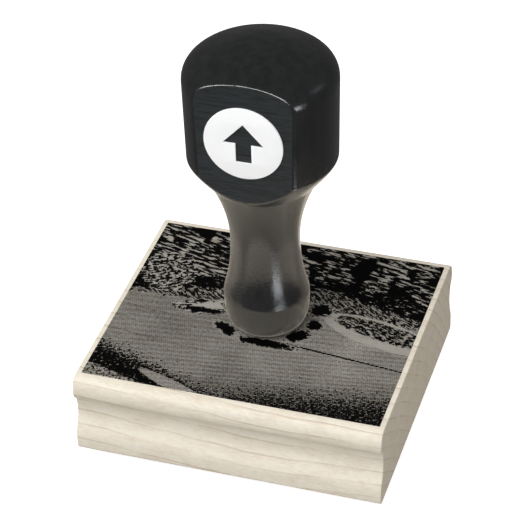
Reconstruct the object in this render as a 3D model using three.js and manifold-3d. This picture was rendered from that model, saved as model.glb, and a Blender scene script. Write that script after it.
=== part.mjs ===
// A wood-mounted rubber stamp with a turned knob handle that screws on.
//
// Millimetres, +Z up. The origin is at the middle of the printing face, the underside of the
// rubber die. -Y is the front, the side of the flat on the handle's head. The block's moulded
// edges, and its grain, run along X.
//
// From the bottom up: rubber die, adhesive film, foam cushion, adhesive film, wood block, printed
// index film, and the handle on a hanger bolt, with a threaded insert in its foot and a badge.

import * as THREE from 'three';
import { mergeVertices } from 'three/addons/utils/BufferGeometryUtils.js';
import Module from 'manifold-3d';

const wasm = await Module();
wasm.setup();

// ---- Wood block: a length of moulding with one profile, front and back

const blockWidth = 76.2;        // along X, between the sawn ends
const blockDepth = 69.8;        // along Y, over the beads
const blockHeight = 21.4;
const topBeadRun = 3.2;         // the top bead's round, in from the bead's face
const topBeadDrop = 3.6;        // and down from the top
const quirkDrop = 6.1;          // the line where the top bead meets the cove, below the top
const quirkDepth = 0.9;
const coveDepth = 2.1;
const coveLow = 0.36;           // the cove's deepest line, as a share of its height, from the top
const coveRun = 0.3;            // how far the foot bead's face runs on into the cove, as a share
const coveTurn = 0.4;           // and how far the cove's deepest line is held, down and up
const coveReturn = 0.55;
const quirkLip = 0.45;          // the little undercut below the quirk, down
const quirkFlare = 0.7;         // and inwards
const quirkRise = 0.35;         // the start of the top bead above the quirk
const footBeadHeight = 3.6;
const footRound = 1.1;

// ---- Index film: the printed picture on top of the block

const indexThickness = 0.1;
const indexEndMargin = 1.35;    // bare wood at each sawn end
const indexBeadGap = 0.1;       // between the film and the start of the bead's round

// ---- Die and cushion, under the block

const dieEndInset = 2;          // from the sawn ends
const dieBeadInset = 4.9;       // from the beads' faces
const dieBase = 1;              // rubber behind the relief
const reliefHeight = 1.1;
const cushionThickness = 1.6;
const filmThickness = 0.15;     // each of the two adhesive films

// ---- Relief on the die: a framed landscape

const frameInset = 0.8;         // from the die's edge to the frame
const frameWidth = 1.4;
const pictureGap = 1.6;         // between the frame and what is inside it
const lineWidth = 1;            // hill lines and furrows
const lineSteps = 24;           // points along a hill line or furrow
const landRoot = 0.3;           // how far a land runs up into the base behind it
const hills = [                 // each ridge's place and swell, as shares, and its wave's shift
  { place: 0.62, swell: 0.07, shift: 1.1 },
  { place: 0.44, swell: 0.09, shift: 2.6 },
];
const hillWave = 3.2;           // how fast a ridge rises and falls across the picture
const furrowCount = 6;
const furrowShare = 0.95;       // of the picture's half depth, taken up by the furrows
const furrowSlope = 0.05;
const furrowGapLow = 0.45;      // bare ground right of the lowest furrow, of the half width
const furrowGapGain = 0.35;     // and how much more of it there is at the highest
const treeCount = 7;
const treeRadius = 2.4;
const treeVariety = 0.25;       // how much the trees' sizes differ
const treeLine = 0.9;           // of the picture's half depth, where the trees' tops are
const treeLift = 0.8;
const treeSides = 14;

// ---- Handle, measured up from its seat on the block

const handleHeight = 78.5;
const headRadius = 18.1;
const headTaper = 0.3;          // how much slimmer the head is at its lower edge
const crownRise = 1.95;
const shoulderReach = 7.2;      // the round between crown and side: inwards
const shoulderDrop = 6.95;      // and down
const headHeight = 20.2;        // the head's straight side
const throatDrop = 6.6;         // below the head's lower edge
const throatRadius = 13.05;
const throatSlope = 1.79;       // drop for each 1 inwards
const neckRadius = 8.35;
const neckHeight = 25.2;
const footRadius = 10.45;
const footHeight = 9.25;        // where the foot is widest
const seatRadius = 6.9;
const footSpread = 2.55;        // how the foot's curve leaves the seat: outwards
const footLift = 1.5;           // and upwards
const footBelly = 0.22;         // how low the foot keeps its full width, as a share
const footCrest = 2;            // and how far above its widest line
const neckDraw = 0.67;          // how long the neck stays slim: downwards
const neckRun = 0.52;           // and upwards, as shares
const throatEase = 0.3;         // the blend at the throat
const jawRound = 0.8;           // and where the head's side starts
const quarterPull = 0.55;       // how far a curve's handle reaches for a circular quarter
const crownSpan = 0.6;          // the crown's curve: where it leaves the shoulder's slope
const crownPeak = 0.5;          // and where it levels out, as shares of its radius
const flatDistance = 13.6;      // from the axis to the flat on the front of the head

// ---- Badge on the flat

const badgeMargin = 2.1;        // flat left bare at each side of the badge
const badgeThickness = 0.4;
const badgeRise = 0.8;          // above the middle of the head's straight side
const arrowHeight = 1.08;       // the arrow's sizes are shares of the badge's radius
const arrowWidth = 1.04;
const arrowHeadHeight = 0.56;
const arrowStemWidth = 0.4;

// ---- Hanger bolt, and the threaded insert in the handle's foot

const boltRadius = 2.5;
const threadPitch = 0.8;
const threadDepth = 0.5;
const threadTurns = 10;         // full engagement
const woodThreadRadius = 2.6;
const woodThreadPitch = 2;
const woodThreadDepth = 0.8;
const woodThreadTurns = 6;
const boltPoint = 2.4;          // the pointed end, below the wood thread
const boltCollar = 0.6;         // plain shank between the two threads, up to the seat
const threadRunout = 0.3;       // the slope from a thread's root up to the shank
const insertLift = 0.5;         // the insert's lower end above the seat
const insertLength = 10;
const insertWall = 1.3;
const insertRib = 0.35;
const insertRibs = 4;
const insertRibSlope = 0.3;     // of a rib's pitch, on each side of its flat top
const boltClearance = 0.3;      // round the bolt, in wood, film and insert
const insertClearance = 0.3;    // round the insert, in the handle
const boreRelief = 1;           // each blind hole goes this much deeper than what is in it

// ---- Facets

const turnSides = 60;           // on the turned handle
const boltSides = 32;
const curveSteps = 7;
const badgeSteps = 24;
const overcut = 1;              // how far a cutting shape runs past the face that it opens

// ---- Heights, from the printing face up

const dieThickness = reliefHeight + dieBase;
const cushionBottom = dieThickness + filmThickness;
const blockBottom = cushionBottom + cushionThickness + filmThickness;
const blockTop = blockBottom + blockHeight;
const seatZ = blockTop + indexThickness;

// ---- Fits

const boltHole = Math.max(boltRadius, woodThreadRadius) + boltClearance;   // in block and film
const insertBore = boltRadius + boltClearance;
const insertRadius = insertBore + insertWall;
const headLowRadius = headRadius - headTaper;
const headTop = handleHeight - crownRise - shoulderDrop;                   // of the straight side
const headBottom = headTop - headHeight;
const badgeRadius = Math.sqrt(headLowRadius ** 2 - flatDistance ** 2) - badgeMargin;

// ---- Materials, one for each finish

const finishes = {
  wood: { color: 0xe3d6bb, roughness: 0.62, metalness: 0 },
  print: { color: 0x2b2a29, roughness: 0.55, metalness: 0 },
  film: { color: 0xe9e6da, roughness: 0.35, metalness: 0 },
  foam: { color: 0x5d6063, roughness: 0.95, metalness: 0 },
  rubber: { color: 0xa9523c, roughness: 0.7, metalness: 0 },
  lacquer: { color: 0x0d0e10, roughness: 0.16, metalness: 0 },
  badge: { color: 0xf6f6f4, roughness: 0.4, metalness: 0 },
  steel: { color: 0xb4b6b9, roughness: 0.35, metalness: 1 },
  brass: { color: 0xc9a24e, roughness: 0.3, metalness: 1 },
};

// ---- Helpers

function piece(name, finish, geometry) {
  const mesh = new THREE.Mesh(geometry, new THREE.MeshStandardMaterial(finishes[finish]));
  mesh.name = name;
  return mesh;
}

// Shared vertices, and no triangle that has shrunk to a line at the axis of a turned piece.
function closed(geometry) {
  const bare = geometry.clone();
  bare.deleteAttribute('normal');
  bare.deleteAttribute('uv');
  const merged = mergeVertices(bare, 1e-4);
  const corners = merged.index.array;
  const kept = [];
  for (let i = 0; i < corners.length; i += 3) {
    const [a, b, c] = corners.slice(i, i + 3);
    if (a !== b && b !== c && c !== a) kept.push(a, b, c);
  }
  merged.setIndex(kept);
  merged.computeVertexNormals();
  return merged;
}

function solid(geometry) {
  const { index, attributes } = closed(geometry);
  return new wasm.Manifold(new wasm.Mesh({
    numProp: 3,
    vertProperties: new Float32Array(attributes.position.array),
    triVerts: new Uint32Array(index.array),
  }));
}

function surface(manifold) {
  const { vertProperties, triVerts } = manifold.getMesh();
  const geometry = new THREE.BufferGeometry();
  geometry.setAttribute('position', new THREE.BufferAttribute(vertProperties, 3));
  geometry.setIndex(new THREE.BufferAttribute(triVerts, 1));
  geometry.computeVertexNormals();
  return geometry;
}

// Turns [radius, height] points, listed upwards, about Z.
function turned(profile, sides) {
  const points = profile.map(([radius, height]) => new THREE.Vector2(radius, height));
  return closed(new THREE.LatheGeometry(points, sides).rotateX(Math.PI / 2));
}

function cylinder(radius, bottom, top, sides) {
  return turned([[0, bottom], [radius, bottom], [radius, top], [0, top]], sides);
}

// A flat shape in X and Y, from one height to another.
function slab(shape, bottom, top) {
  const options = { depth: top - bottom, bevelEnabled: false, curveSegments: curveSteps };
  return new THREE.ExtrudeGeometry(shape, options).translate(0, 0, bottom);
}

function rectangle(width, depth) {
  const [x, y] = [width / 2, depth / 2];
  return new THREE.Shape().moveTo(-x, -y).lineTo(x, -y).lineTo(x, y).lineTo(-x, y).lineTo(-x, -y);
}

// ---- Wood block

// One moulded edge, upwards: x is the depth in from the bead's face, y the height.
function mouldedEdge() {
  const quirk = blockHeight - quirkDrop;
  const beadFace = blockHeight - topBeadDrop;
  const cove = quirk - (quirk - footBeadHeight) * coveLow;
  const edge = new THREE.Path();
  edge.moveTo(footRound, 0);
  edge.quadraticCurveTo(0, 0, 0, footRound);
  edge.lineTo(0, footBeadHeight);
  edge.bezierCurveTo(
    0, footBeadHeight + (cove - footBeadHeight) * coveRun,
    coveDepth, cove - (cove - footBeadHeight) * coveTurn,
    coveDepth, cove,
  );
  edge.bezierCurveTo(
    coveDepth, cove + (quirk - cove) * coveReturn,
    quirkDepth + quirkFlare, quirk - quirkLip,
    quirkDepth, quirk,
  );
  edge.bezierCurveTo(
    quirkDepth / 3, quirk + quirkRise,
    0, (quirk + beadFace) / 2,
    0, beadFace,
  );
  edge.quadraticCurveTo(0, blockHeight, topBeadRun, blockHeight);
  return edge.getPoints(curveSteps);
}

function mountBlock() {
  const edge = mouldedEdge();
  const front = edge.map((point) => new THREE.Vector2(point.x - blockDepth / 2, point.y));
  const back = edge.map((point) => new THREE.Vector2(blockDepth / 2 - point.x, point.y)).reverse();
  const section = new THREE.Shape([...front.reverse(), ...back.reverse()]);
  const moulding = new THREE.ExtrudeGeometry(section, { depth: blockWidth, bevelEnabled: false });
  moulding.applyMatrix4(new THREE.Matrix4().makeBasis(
    new THREE.Vector3(0, 1, 0),
    new THREE.Vector3(0, 0, 1),
    new THREE.Vector3(1, 0, 0),
  ));
  moulding.translate(-blockWidth / 2, 0, 0);
  const depth = boltCollar + woodThreadTurns * woodThreadPitch + boltPoint + boreRelief;
  const pilot = cylinder(boltHole, blockHeight - depth, blockHeight + overcut, boltSides);
  return piece('mount_block', 'wood', surface(solid(moulding).subtract(solid(pilot))));
}

// ---- Index film

function indexPrint() {
  const depth = blockDepth - 2 * (topBeadRun + indexBeadGap);
  const sheet = rectangle(blockWidth - 2 * indexEndMargin, depth);
  const hole = new THREE.Path();
  hole.absarc(0, 0, boltHole, 0, 2 * Math.PI, true);
  sheet.holes.push(hole);
  return piece('index_print', 'print', slab(sheet, 0, indexThickness));
}

// ---- Cushion and its films

const dieWidth = blockWidth - 2 * dieEndInset;
const dieDepth = blockDepth - 2 * dieBeadInset;

function dieSheet(name, finish, thickness) {
  return piece(name, finish, slab(rectangle(dieWidth, dieDepth), 0, thickness));
}

// ---- Rubber die

// A raised line of even width along a curve y(x), between two places on X.
function reliefLine(from, to, curve) {
  const stride = (to - from) / lineSteps;
  const spine = Array.from({ length: lineSteps + 1 }, (_, i) => from + stride * i);
  const lower = spine.map((x) => new THREE.Vector2(x, curve(x) - lineWidth / 2));
  const upper = spine.map((x) => new THREE.Vector2(x, curve(x) + lineWidth / 2)).reverse();
  return slab(new THREE.Shape([...lower, ...upper]), 0, reliefHeight + landRoot);
}

function rubberDie() {
  const frameWide = dieWidth - 2 * frameInset;
  const frameDeep = dieDepth - 2 * frameInset;
  const frame = rectangle(frameWide, frameDeep);
  frame.holes.push(rectangle(frameWide - 2 * frameWidth, frameDeep - 2 * frameWidth));

  const halfWide = frameWide / 2 - frameWidth - pictureGap;
  const halfDeep = frameDeep / 2 - frameWidth - pictureGap;
  const lands = [slab(frame, 0, reliefHeight + landRoot)];

  for (const { place, swell, shift } of hills) {
    const ridge = (x) => halfDeep * (place + swell * Math.sin((hillWave * x) / halfWide + shift));
    lands.push(reliefLine(-halfWide, halfWide, ridge));
  }

  for (let i = 0; i < furrowCount; i += 1) {
    const share = i / (furrowCount - 1);
    const y = -halfDeep + lineWidth / 2 + halfDeep * furrowShare * share;
    const end = halfWide * (1 - furrowGapLow - furrowGapGain * share);
    lands.push(reliefLine(-halfWide, end, (x) => y + furrowSlope * (x + halfWide)));
  }

  for (let i = 0; i < treeCount; i += 1) {
    const share = i / (treeCount - 1);
    const radius = treeRadius * (1 - treeVariety * (1 - Math.cos(5 * i)));
    const x = (halfWide - treeRadius) * (2 * share - 1);
    const tree = cylinder(radius, 0, reliefHeight + landRoot, treeSides);
    lands.push(tree.translate(x, halfDeep * treeLine - radius + treeLift, 0));
  }

  const plate = slab(rectangle(dieWidth, dieDepth), reliefHeight, dieThickness);
  const die = lands.reduce((whole, land) => whole.add(solid(land)), solid(plate));
  return piece('rubber_die', 'rubber', surface(die));
}

// ---- Hanger bolt: wood thread in the block, machine thread in the handle

// V-shaped ridges that stand for a thread, upwards from a height.
function threadRidges(bottom, turns, pitch, radius, depth) {
  const points = [];
  for (let turn = 0; turn < turns; turn += 1) {
    points.push([radius - depth, bottom + turn * pitch]);
    points.push([radius, bottom + (turn + 0.5) * pitch]);
  }
  points.push([radius - depth, bottom + turns * pitch]);
  return points;
}

// Drawn with its zero height at the seat, where the handle stands.
function hangerBolt() {
  const woodLength = woodThreadTurns * woodThreadPitch;
  const woodBottom = -indexThickness - boltCollar - woodLength;
  const threadTop = insertLift + threadTurns * threadPitch;
  const profile = [
    [0, woodBottom - boltPoint],
    ...threadRidges(woodBottom, woodThreadTurns, woodThreadPitch, woodThreadRadius, woodThreadDepth),
    [boltRadius, -indexThickness - boltCollar + threadRunout],
    [boltRadius, insertLift - threadRunout],
    ...threadRidges(insertLift, threadTurns, threadPitch, boltRadius, threadDepth),
    [0, threadTop],
  ];
  return piece('hanger_bolt', 'steel', turned(profile, boltSides));
}

// ---- Threaded insert

function threadedInsert() {
  const top = insertLift + insertLength;
  const ribPitch = insertLength / insertRibs;
  const outside = [];
  for (let rib = 0; rib < insertRibs; rib += 1) {
    const height = insertLift + rib * ribPitch;
    outside.push([insertRadius - insertRib, height]);
    outside.push([insertRadius, height + ribPitch * insertRibSlope]);
    outside.push([insertRadius, height + ribPitch * (1 - insertRibSlope)]);
  }
  outside.push([insertRadius - insertRib, top]);
  const profile = [[insertBore, insertLift], ...outside, [insertBore, top], [insertBore, insertLift]];
  return piece('threaded_insert', 'brass', turned(profile, boltSides));
}

// ---- Handle

// The turned outline from the seat's edge up to the top, with [radius, height] points.
function handleOutline() {
  const throat = headBottom - throatDrop;
  const crownEdge = headRadius - shoulderReach;
  const crownBase = handleHeight - crownRise;
  const crownSlope = (2 * crownRise) / crownEdge;
  const shoulderPull = shoulderReach * quarterPull;
  const outline = new THREE.Path();
  outline.moveTo(seatRadius, 0);
  outline.bezierCurveTo(
    seatRadius + footSpread, footLift,
    footRadius, footHeight * footBelly,
    footRadius, footHeight,
  );
  outline.bezierCurveTo(
    footRadius, footHeight + footCrest,
    neckRadius, neckHeight - (neckHeight - footHeight) * neckDraw,
    neckRadius, neckHeight,
  );
  outline.bezierCurveTo(
    neckRadius, neckHeight + (throat - neckHeight) * neckRun,
    throatRadius - throatEase, throat - throatEase * throatSlope,
    throatRadius, throat,
  );
  outline.bezierCurveTo(
    throatRadius + throatEase, throat + throatEase * throatSlope,
    headLowRadius, headBottom - jawRound,
    headLowRadius, headBottom,
  );
  outline.lineTo(headRadius, headTop);
  outline.bezierCurveTo(
    headRadius, headTop + shoulderDrop * quarterPull,
    crownEdge + shoulderPull, crownBase - crownSlope * shoulderPull,
    crownEdge, crownBase,
  );
  outline.bezierCurveTo(
    crownEdge * crownSpan, crownBase + crownSlope * crownEdge * (1 - crownSpan),
    crownEdge * crownPeak, handleHeight,
    0, handleHeight,
  );
  return outline.getPoints(curveSteps).map(({ x, y }) => [x, y]);
}

function handle() {
  const turning = solid(turned([[0, 0], ...handleOutline()], turnSides));
  const block = new THREE.BoxGeometry(4 * headRadius, 2 * headRadius, 2 * handleHeight);
  block.translate(0, -flatDistance - headRadius, handleHeight);
  const boreTop = insertLift + insertLength + boreRelief;
  const bore = cylinder(insertRadius + insertClearance, -overcut, boreTop, boltSides);
  return piece('handle', 'lacquer', surface(turning.subtract(solid(block)).subtract(solid(bore))));
}

// ---- Badge: a disc with an upward arrow cut through it

function frontBadge() {
  const disc = new THREE.Shape();
  disc.absarc(0, 0, badgeRadius, 0, 2 * Math.PI, false);
  const tip = (arrowHeight / 2) * badgeRadius;
  const shoulder = tip - arrowHeadHeight * badgeRadius;
  const barb = (arrowWidth / 2) * badgeRadius;
  const stem = (arrowStemWidth / 2) * badgeRadius;
  const arrow = new THREE.Path()
    .moveTo(0, tip)
    .lineTo(barb, shoulder)
    .lineTo(stem, shoulder)
    .lineTo(stem, -tip)
    .lineTo(-stem, -tip)
    .lineTo(-stem, shoulder)
    .lineTo(-barb, shoulder)
    .lineTo(0, tip);
  disc.holes.push(arrow);
  const options = { depth: badgeThickness, bevelEnabled: false, curveSegments: badgeSteps };
  const badge = piece('front_badge', 'badge', new THREE.ExtrudeGeometry(disc, options));
  badge.rotation.x = Math.PI / 2;
  badge.position.set(0, -flatDistance, headBottom + headHeight / 2 + badgeRise);
  return badge;
}

// ---- The stamp

function at(height, ...pieces) {
  const group = new THREE.Group();
  group.position.z = height;
  group.add(...pieces);
  return group;
}

const stamp = new THREE.Group();
stamp.add(
  at(0, rubberDie()),
  at(dieThickness, dieSheet('die_adhesive', 'film', filmThickness)),
  at(cushionBottom, dieSheet('cushion', 'foam', cushionThickness)),
  at(cushionBottom + cushionThickness, dieSheet('cushion_adhesive', 'film', filmThickness)),
  at(blockBottom, mountBlock()),
  at(blockTop, indexPrint()),
  at(seatZ, hangerBolt(), threadedInsert(), handle(), frontBadge()),
);

export default stamp;
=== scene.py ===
import math

import bmesh
import bpy
import numpy as np
from mathutils import Matrix, Vector


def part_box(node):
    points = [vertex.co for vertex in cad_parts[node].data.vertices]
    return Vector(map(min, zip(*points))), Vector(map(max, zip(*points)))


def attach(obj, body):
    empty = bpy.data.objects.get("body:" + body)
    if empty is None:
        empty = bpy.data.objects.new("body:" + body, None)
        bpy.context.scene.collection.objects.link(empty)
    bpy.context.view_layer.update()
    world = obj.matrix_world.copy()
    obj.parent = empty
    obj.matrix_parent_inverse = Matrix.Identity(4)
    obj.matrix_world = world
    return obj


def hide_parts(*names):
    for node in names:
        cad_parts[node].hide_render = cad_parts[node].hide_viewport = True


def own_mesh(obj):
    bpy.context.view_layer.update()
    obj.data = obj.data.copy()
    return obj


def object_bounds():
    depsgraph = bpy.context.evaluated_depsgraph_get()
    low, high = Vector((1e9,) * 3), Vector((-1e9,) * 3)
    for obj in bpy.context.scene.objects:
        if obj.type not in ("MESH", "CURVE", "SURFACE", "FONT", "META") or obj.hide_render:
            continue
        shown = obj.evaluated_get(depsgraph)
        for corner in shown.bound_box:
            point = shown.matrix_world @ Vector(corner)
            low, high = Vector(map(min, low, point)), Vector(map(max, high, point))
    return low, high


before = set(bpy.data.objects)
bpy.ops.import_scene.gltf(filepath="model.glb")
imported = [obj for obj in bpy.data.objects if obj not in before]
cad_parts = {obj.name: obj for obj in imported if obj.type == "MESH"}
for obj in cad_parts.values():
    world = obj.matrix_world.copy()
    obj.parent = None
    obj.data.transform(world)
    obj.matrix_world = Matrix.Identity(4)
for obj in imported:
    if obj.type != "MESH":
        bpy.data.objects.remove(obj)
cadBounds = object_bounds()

# The looks of a wood-mounted rubber stamp, in metres, +Z up. The front, with the badge, is -Y.

mm = 0.001
scene = bpy.context.scene
boxLow, boxHigh = cadBounds
boxCentre = (boxLow + boxHigh) / 2


# Shader helpers

def join(tree, value, socket):
    if isinstance(value, bpy.types.NodeSocket):
        tree.links.new(value, socket)
    else:
        socket.default_value = value


def addNode(tree, kind, inputs=None, **settings):
    made = tree.nodes.new(kind)
    for name, value in settings.items():
        setattr(made, name, value)
    for name, value in (inputs or {}).items():
        join(tree, value, made.inputs[name])
    return made


def calc(tree, operation, *values, clamp=False):
    return addNode(tree, "ShaderNodeMath", dict(enumerate(values)), operation=operation,
                   use_clamp=clamp).outputs[0]


def vectorCalc(tree, operation, *values, output=0):
    return addNode(tree, "ShaderNodeVectorMath", dict(enumerate(values)),
                   operation=operation).outputs[output]


# A soft step: 0 below low, 1 above high. With low above high it runs the other way.
def step(tree, value, low, high, bottom=0.0, top=1.0):
    inputs = {"Value": value, "From Min": low, "From Max": high, "To Min": bottom, "To Max": top}
    return addNode(tree, "ShaderNodeMapRange", inputs, interpolation_type="SMOOTHSTEP").outputs[0]


def noise(tree, vector, scale=1.0, detail=2.0, roughness=0.5, distortion=0.0):
    inputs = {"Vector": vector, "Scale": scale, "Detail": detail, "Roughness": roughness,
              "Distortion": distortion}
    return addNode(tree, "ShaderNodeTexNoise", inputs).outputs["Fac"]


# Coordinates in which a spot of the given size, turned by the given angles, is one unit across.
def spots(tree, vector, size, turn=(0, 0, 0), at=(0, 0, 0)):
    inputs = {"Vector": vector, "Location": at, "Rotation": turn, "Scale": size}
    return addNode(tree, "ShaderNodeMapping", inputs, vector_type="TEXTURE").outputs[0]


def blendColors(tree, factor, first, second, how="MIX"):
    return addNode(tree, "ShaderNodeMix", {0: factor, 6: first, 7: second}, data_type="RGBA",
                   blend_type=how).outputs[2]


def blendValues(tree, factor, first, second):
    return addNode(tree, "ShaderNodeMix", {0: factor, 2: first, 3: second},
                   data_type="FLOAT").outputs[0]


def inMillimetres(tree):
    place = addNode(tree, "ShaderNodeTexCoord").outputs["Object"]
    return addNode(tree, "ShaderNodeVectorMath", {0: place, "Scale": 1 / mm},
                   operation="SCALE").outputs[0]


def bump(tree, height, distance, strength=1.0):
    inputs = {"Height": height, "Distance": distance, "Strength": strength}
    return addNode(tree, "ShaderNodeBump", inputs).outputs[0]


def newMaterial(name):
    material = bpy.data.materials.new(name)
    material.use_nodes = True
    tree = material.node_tree
    return material, tree, tree.nodes["Principled BSDF"]


# Fills the shader's own sockets. An underscore in a name stands for a space.
def feed(tree, shader, **values):
    for name, value in values.items():
        join(tree, value, shader.inputs[name.replace("_", " ")])


def newGroup(name, inputs, outputs):
    tree = bpy.data.node_groups.new(name, "ShaderNodeTree")
    for label, kind, value in inputs:
        socket = tree.interface.new_socket(label, in_out="INPUT", socket_type=kind)
        if value is not None:
            socket.default_value = value
    for label, kind in outputs:
        tree.interface.new_socket(label, in_out="OUTPUT", socket_type=kind)
    return tree, tree.nodes.new("NodeGroupInput").outputs, tree.nodes.new("NodeGroupOutput").inputs


def useGroup(tree, group, inputs):
    return addNode(tree, "ShaderNodeGroup", node_tree=group, inputs=inputs).outputs


# Shared effects

maple = {
    "pale": (0.745, 0.69, 0.585, 1),
    "tan": (0.59, 0.505, 0.385, 1),
    "ringBrown": (0.33, 0.21, 0.115, 1),
    "endGrey": (0.80, 0.78, 0.75, 1),   # what the colour is multiplied by on the sawn ends
    "pith": (0, -150, -136),            # mm, a point on the line that the growth rings go round
    "ringWidth": 3.3,                   # mm
    "wander": 8.0, "wanderSize": (48, 60, 60),      # mm, how far a ring strays, and over what size
    "ripple": 1.1, "rippleSize": (11, 30, 30),      # mm, the smaller waves on that
    "lineDepth": 0.46, "lineFadeSize": (30, 7, 7),
    "fibreSize": (9, 0.2, 0.2), "fibreDepth": 0.34,
    "poreSize": (1.6, 0.13, 0.13), "poreDepth": 0.22,
    "mottleSize": (7, 3.4, 3.4), "mottleDepth": 0.34,
    "fleckSize": (1.5, 0.55, 0.55), "fleckDepth": 0.36,
}


# Solid maple with its grain along X, from a place in millimetres.
def mapleGroup():
    tree, entry, result = newGroup(
        "mapleGrain",
        [("Place", "NodeSocketVector", None), ("End Grain", "NodeSocketFloat", 0.0)],
        [("Color", "NodeSocketColor"), ("Height", "NodeSocketFloat")],
    )
    place, end = entry["Place"], entry["End Grain"]

    def grain(size, detail, **settings):
        return noise(tree, spots(tree, place, maple[size]), detail=detail, **settings)

    # Growth rings: a slow rise in tone over each ring, and a thin dark line at its end.
    fromPith = vectorCalc(tree, "SUBTRACT", place, maple["pith"])
    across = vectorCalc(tree, "MULTIPLY", fromPith, (0, 1, 1))
    radius = vectorCalc(tree, "LENGTH", across, output="Value")
    radius = calc(tree, "MULTIPLY_ADD", grain("wanderSize", 0), maple["wander"], radius)
    radius = calc(tree, "MULTIPLY_ADD", grain("rippleSize", 1), maple["ripple"], radius)
    phase = calc(tree, "FRACT", calc(tree, "DIVIDE", radius, maple["ringWidth"]))
    line = calc(tree, "MULTIPLY", step(tree, phase, 0.84, 0.97), step(tree, phase, 1.0, 0.975))
    fade = step(tree, grain("lineFadeSize", 2), 0.38, 0.66, 0.06, 1)
    line = calc(tree, "MULTIPLY", calc(tree, "MULTIPLY", line, fade), maple["lineDepth"])

    # Fibres, pores, mottle and flecks, from fine to coarse.
    fibre = grain("fibreSize", 3, roughness=0.6)
    pores = step(tree, grain("poreSize", 1), 0.66, 0.76)
    mottle = step(tree, grain("mottleSize", 3), 0.3, 0.75, 0, maple["mottleDepth"])
    flecks = step(tree, grain("fleckSize", 2, roughness=0.7), 0.3, 0.7)
    warm = calc(tree, "MULTIPLY_ADD", phase, 0.22, calc(tree, "ADD", mottle, 0.18))
    warm = calc(tree, "MULTIPLY_ADD", flecks, -maple["fleckDepth"], warm)
    warm = calc(tree, "MULTIPLY_ADD", step(tree, fibre, 0.3, 0.72, -0.5, 0.5), maple["fibreDepth"],
                warm, clamp=True)
    color = blendColors(tree, warm, maple["pale"], maple["tan"])
    color = blendColors(tree, line, color, maple["ringBrown"])
    poreShade = calc(tree, "MULTIPLY", pores, maple["poreDepth"])
    color = blendColors(tree, poreShade, color, maple["ringBrown"])
    greyed = blendColors(tree, 1.0, color, maple["endGrey"], "MULTIPLY")
    tree.links.new(blendColors(tree, end, color, greyed), result["Color"])
    height = calc(tree, "MULTIPLY_ADD", pores, -0.8, fibre)
    tree.links.new(calc(tree, "MULTIPLY_ADD", line, -0.4, height), result["Height"])
    return tree


# Fine speckle for finishes that aren't wood: a soft cloud, a fine grit, and sparse flecks.
def speckleGroup():
    tree, entry, result = newGroup(
        "fineSpeckle",
        [("Place", "NodeSocketVector", None), ("Cloud Size", "NodeSocketFloat", 8.0),
         ("Grit Size", "NodeSocketFloat", 0.25), ("Flecks", "NodeSocketFloat", 0.2)],
        [("Cloud", "NodeSocketFloat"), ("Grit", "NodeSocketFloat"), ("Fleck", "NodeSocketFloat")],
    )
    place = entry["Place"]
    cloud = noise(tree, place, calc(tree, "DIVIDE", 1.0, entry["Cloud Size"]), detail=3)
    grit = noise(tree, place, calc(tree, "DIVIDE", 1.0, entry["Grit Size"]), detail=2,
                 roughness=0.6)
    dots = addNode(tree, "ShaderNodeTexVoronoi", {"Vector": place, "Scale": 1.1}).outputs
    near = step(tree, dots["Distance"], 0.16, 0.06)
    chance = addNode(tree, "ShaderNodeSeparateColor", {"Color": dots["Color"]}).outputs[0]
    chosen = calc(tree, "LESS_THAN", chance, entry["Flecks"])
    tree.links.new(step(tree, cloud, 0.3, 0.7), result["Cloud"])
    tree.links.new(grit, result["Grit"])
    tree.links.new(calc(tree, "MULTIPLY", near, chosen), result["Fleck"])
    return tree


# Fine rings that a lathe leaves round Z, as a value round a half.
def latheGroup():
    tree, entry, result = newGroup(
        "latheMarks",
        [("Place", "NodeSocketVector", None), ("Groove Width", "NodeSocketFloat", 0.08)],
        [("Groove", "NodeSocketFloat")],
    )
    size = addNode(tree, "ShaderNodeCombineXYZ", {0: 6.0, 1: 6.0, 2: entry["Groove Width"]})
    groove = noise(tree, spots(tree, entry["Place"], size.outputs[0]), detail=2)
    tree.links.new(groove, result["Groove"])
    return tree


mapleGrain = mapleGroup()
fineSpeckle = speckleGroup()
latheMarks = latheGroup()
print("shared node groups built")


# Mesh helpers

def link(name, mesh, material, smooth=True):
    mesh.validate()
    piece = bpy.data.objects.new(name, mesh)
    scene.collection.objects.link(piece)
    mesh.materials.append(material)
    mesh.polygons.foreach_set("use_smooth", [smooth] * len(mesh.polygons))
    return piece


def meshFrom(name, points, faces):
    mesh = bpy.data.meshes.new(name)
    mesh.from_pydata([tuple(point) for point in points], [], faces)
    return mesh


# Quads between rings of equal length, numbered one ring after the other.
def ringFaces(rings, columns):
    faces = []
    for ring in range(rings - 1):
        for column in range(columns):
            low = ring * columns
            beside = (column + 1) % columns
            high = low + columns
            faces.append((low + column, low + beside, high + beside, high + column))
    return faces


def outward(mesh):
    body = bmesh.new()
    body.from_mesh(mesh)
    bmesh.ops.remove_doubles(body, verts=body.verts, dist=1e-7)
    bmesh.ops.recalc_face_normals(body, faces=body.faces)
    body.to_mesh(mesh)
    body.free()


def sharpenPast(piece, degrees):
    piece.data.set_sharp_from_angle(angle=math.radians(degrees))


# A node's box in millimetres: its low and its high corner.
def boxInMm(node):
    return [np.array(corner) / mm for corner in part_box(node)]


def turnsRound(sides):
    return 2 * math.pi * np.arange(sides) / sides


# Points in metres at a height, round Z, from one radius or from one for each turn.
def ringAt(z, radius, turns):
    across, along = radius * np.cos(turns) * mm, radius * np.sin(turns) * mm
    return [(px, py, z * mm) for px, py in zip(across, along)]


def bezier(start, pullA, pullB, end, steps):
    t = np.linspace(0, 1, steps + 1)[:, None]
    start, pullA, pullB, end = (np.array(p, float) for p in (start, pullA, pullB, end))
    return ((1 - t) ** 3 * start + 3 * (1 - t) ** 2 * t * pullA
            + 3 * (1 - t) * t ** 2 * pullB + t ** 3 * end)


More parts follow.
